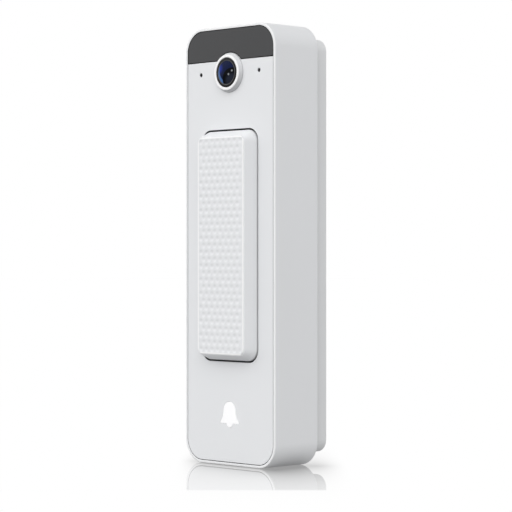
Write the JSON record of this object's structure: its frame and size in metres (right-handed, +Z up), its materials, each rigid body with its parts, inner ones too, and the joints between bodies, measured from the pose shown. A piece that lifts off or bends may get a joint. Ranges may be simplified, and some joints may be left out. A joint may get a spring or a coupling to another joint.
{
  "type": "video doorbell",
  "caption": "Slim upright video doorbell: rounded body hooked on a wall plate, smoked sensor window, ringed camera lens, tall textured push button.",
  "frame": {"origin": "middle of the wall plate's back face, on the wall", "axes": "+Y into the wall, so the front faces -Y; +Z up; +X to the right seen from the front"},
  "size_m": [0.043, 0.0318, 0.145],
  "materials": {
    "white_plastic": "fine satin moulded plastic, light neutral white",
    "plate_plastic": "fine satin moulded plastic, slightly greyer white",
    "inner_plastic": "dark grey moulded plastic with a fine spark texture",
    "black_plastic": "matt black plastic",
    "smoked_window": "smoked dark grey polycarbonate, smooth",
    "clear_plastic": "white diffusing plastic",
    "lens_glass": "coated optical glass with a blue bloom",
    "filter_glass": "infrared-cut glass, pale cyan",
    "trim_metal": "plain aluminium",
    "seal_rubber": "black silicone rubber",
    "circuit_board": "green solder mask on glass-epoxy board",
    "chip_resin": "black moulded resin",
    "steel": "plated steel",
    "brass": "plain brass",
    "copper_film": "copper on amber polyimide film",
    "speaker_paper": "treated paper and foam"
  },
  "bodies": {
    "wall_plate": {"wall_plate": "plate_plastic", "wire_grommet": "seal_rubber"},
    "unit": {"antenna": "copper_film", "bell_icon": "clear_plastic", "board_connector": "black_plastic", "bulk_capacitor": "trim_metal", "button_board": "circuit_board", "button_frame": "inner_plastic", "button_gasket": "seal_rubber", "camera_board": "circuit_board", "camera_flex": "copper_film", "cover_screw_lower_left": "steel", "cover_screw_lower_right": "steel", "cover_screw_upper_left": "steel", "cover_screw_upper_right": "steel", "cover_seal": "seal_rubber", "front_lens": "lens_glass", "front_panel": "white_plastic", "heat_spreader": "trim_metal", "housing": "white_plastic", "image_sensor": "chip_resin", "ir_lamp_left": "clear_plastic", "ir_lamp_right": "clear_plastic", "lens_baffle": "black_plastic", "lens_barrel": "black_plastic", "lens_bezel": "white_plastic", "lens_holder": "black_plastic", "lens_trim_ring": "trim_metal", "light_sensor": "chip_resin", "main_board": "circuit_board", "microphone_boot_left": "seal_rubber", "microphone_boot_right": "seal_rubber", "microphone_left": "steel", "microphone_right": "steel", "power_inductor": "chip_resin", "processor_chip": "chip_resin", "rear_cover": "inner_plastic", "rear_lens": "lens_glass", "reset_switch": "steel", "sensor_board": "circuit_board", "shield_can": "steel", "smoked_window": "smoked_window", "speaker_frame": "inner_plastic", "speaker_gasket": "speaker_paper", "speaker_magnet": "steel", "switch_body_lower": "black_plastic", "switch_body_upper": "black_plastic", "terminal_block": "black_plastic"},
    "button": {"button_cap": "white_plastic"},
    "upper_plunger": {"switch_plunger_upper": "clear_plastic"},
    "lower_plunger": {"switch_plunger_lower": "clear_plastic"},
    "reset_button": {"reset_button": "clear_plastic"},
    "ir_filter": {"ir_filter_frame": "black_plastic", "ir_filter_glass": "filter_glass"},
    "speaker_cone": {"speaker_cone": "speaker_paper"},
    "left_terminal_screw": {"terminal_screw_left": "brass"},
    "right_terminal_screw": {"terminal_screw_right": "brass"},
    "security_screw": {"security_screw": "steel"}
  },
  "joints": [
    {"name": "unit_slide", "type": "slide", "parent": "wall_plate", "child": "unit", "axis": [0, 0, 1], "range_m": [0, 0.008]},
    {"name": "button_press", "type": "slide", "parent": "unit", "child": "button", "axis": [0, 1, 0], "range_m": [0, 0.0007], "stiffness_N_per_m": 2500},
    {"name": "upper_switch_press", "type": "slide", "parent": "unit", "child": "upper_plunger", "axis": [0, 1, 0], "range_m": [0, 0.0007]},
    {"name": "lower_switch_press", "type": "slide", "parent": "unit", "child": "lower_plunger", "axis": [0, 1, 0], "range_m": [0, 0.0007]},
    {"name": "reset_press", "type": "slide", "parent": "unit", "child": "reset_button", "axis": [0, -1, 0], "range_m": [0, 0.0004], "stiffness_N_per_m": 1500},
    {"name": "ir_filter_slide", "type": "slide", "parent": "unit", "child": "ir_filter", "axis": [1, 0, 0], "range_m": [0, 0.0056]},
    {"name": "speaker_cone_travel", "type": "slide", "parent": "unit", "child": "speaker_cone", "axis": [0, 0, 1], "range_m": [-0.0003, 0.0003], "stiffness_N_per_m": 800},
    {"name": "left_terminal_turn", "type": "hinge", "parent": "unit", "child": "left_terminal_screw", "pos_m": [-0.0055, -0.005, -0.0025], "axis": [0, 1, 0], "continuous": true},
    {"name": "right_terminal_turn", "type": "hinge", "parent": "unit", "child": "right_terminal_screw", "pos_m": [0.0055, -0.005, -0.0025], "axis": [0, 1, 0], "continuous": true},
    {"name": "security_screw_turn", "type": "hinge", "parent": "wall_plate", "child": "security_screw", "pos_m": [0, -0.0044, -0.069], "axis": [0, 0, 1], "continuous": true}
  ],
  "couplings": [
    {"joint": "upper_switch_press", "follows": "button_press", "ratio": 1},
    {"joint": "lower_switch_press", "follows": "button_press", "ratio": 1}
  ]
}
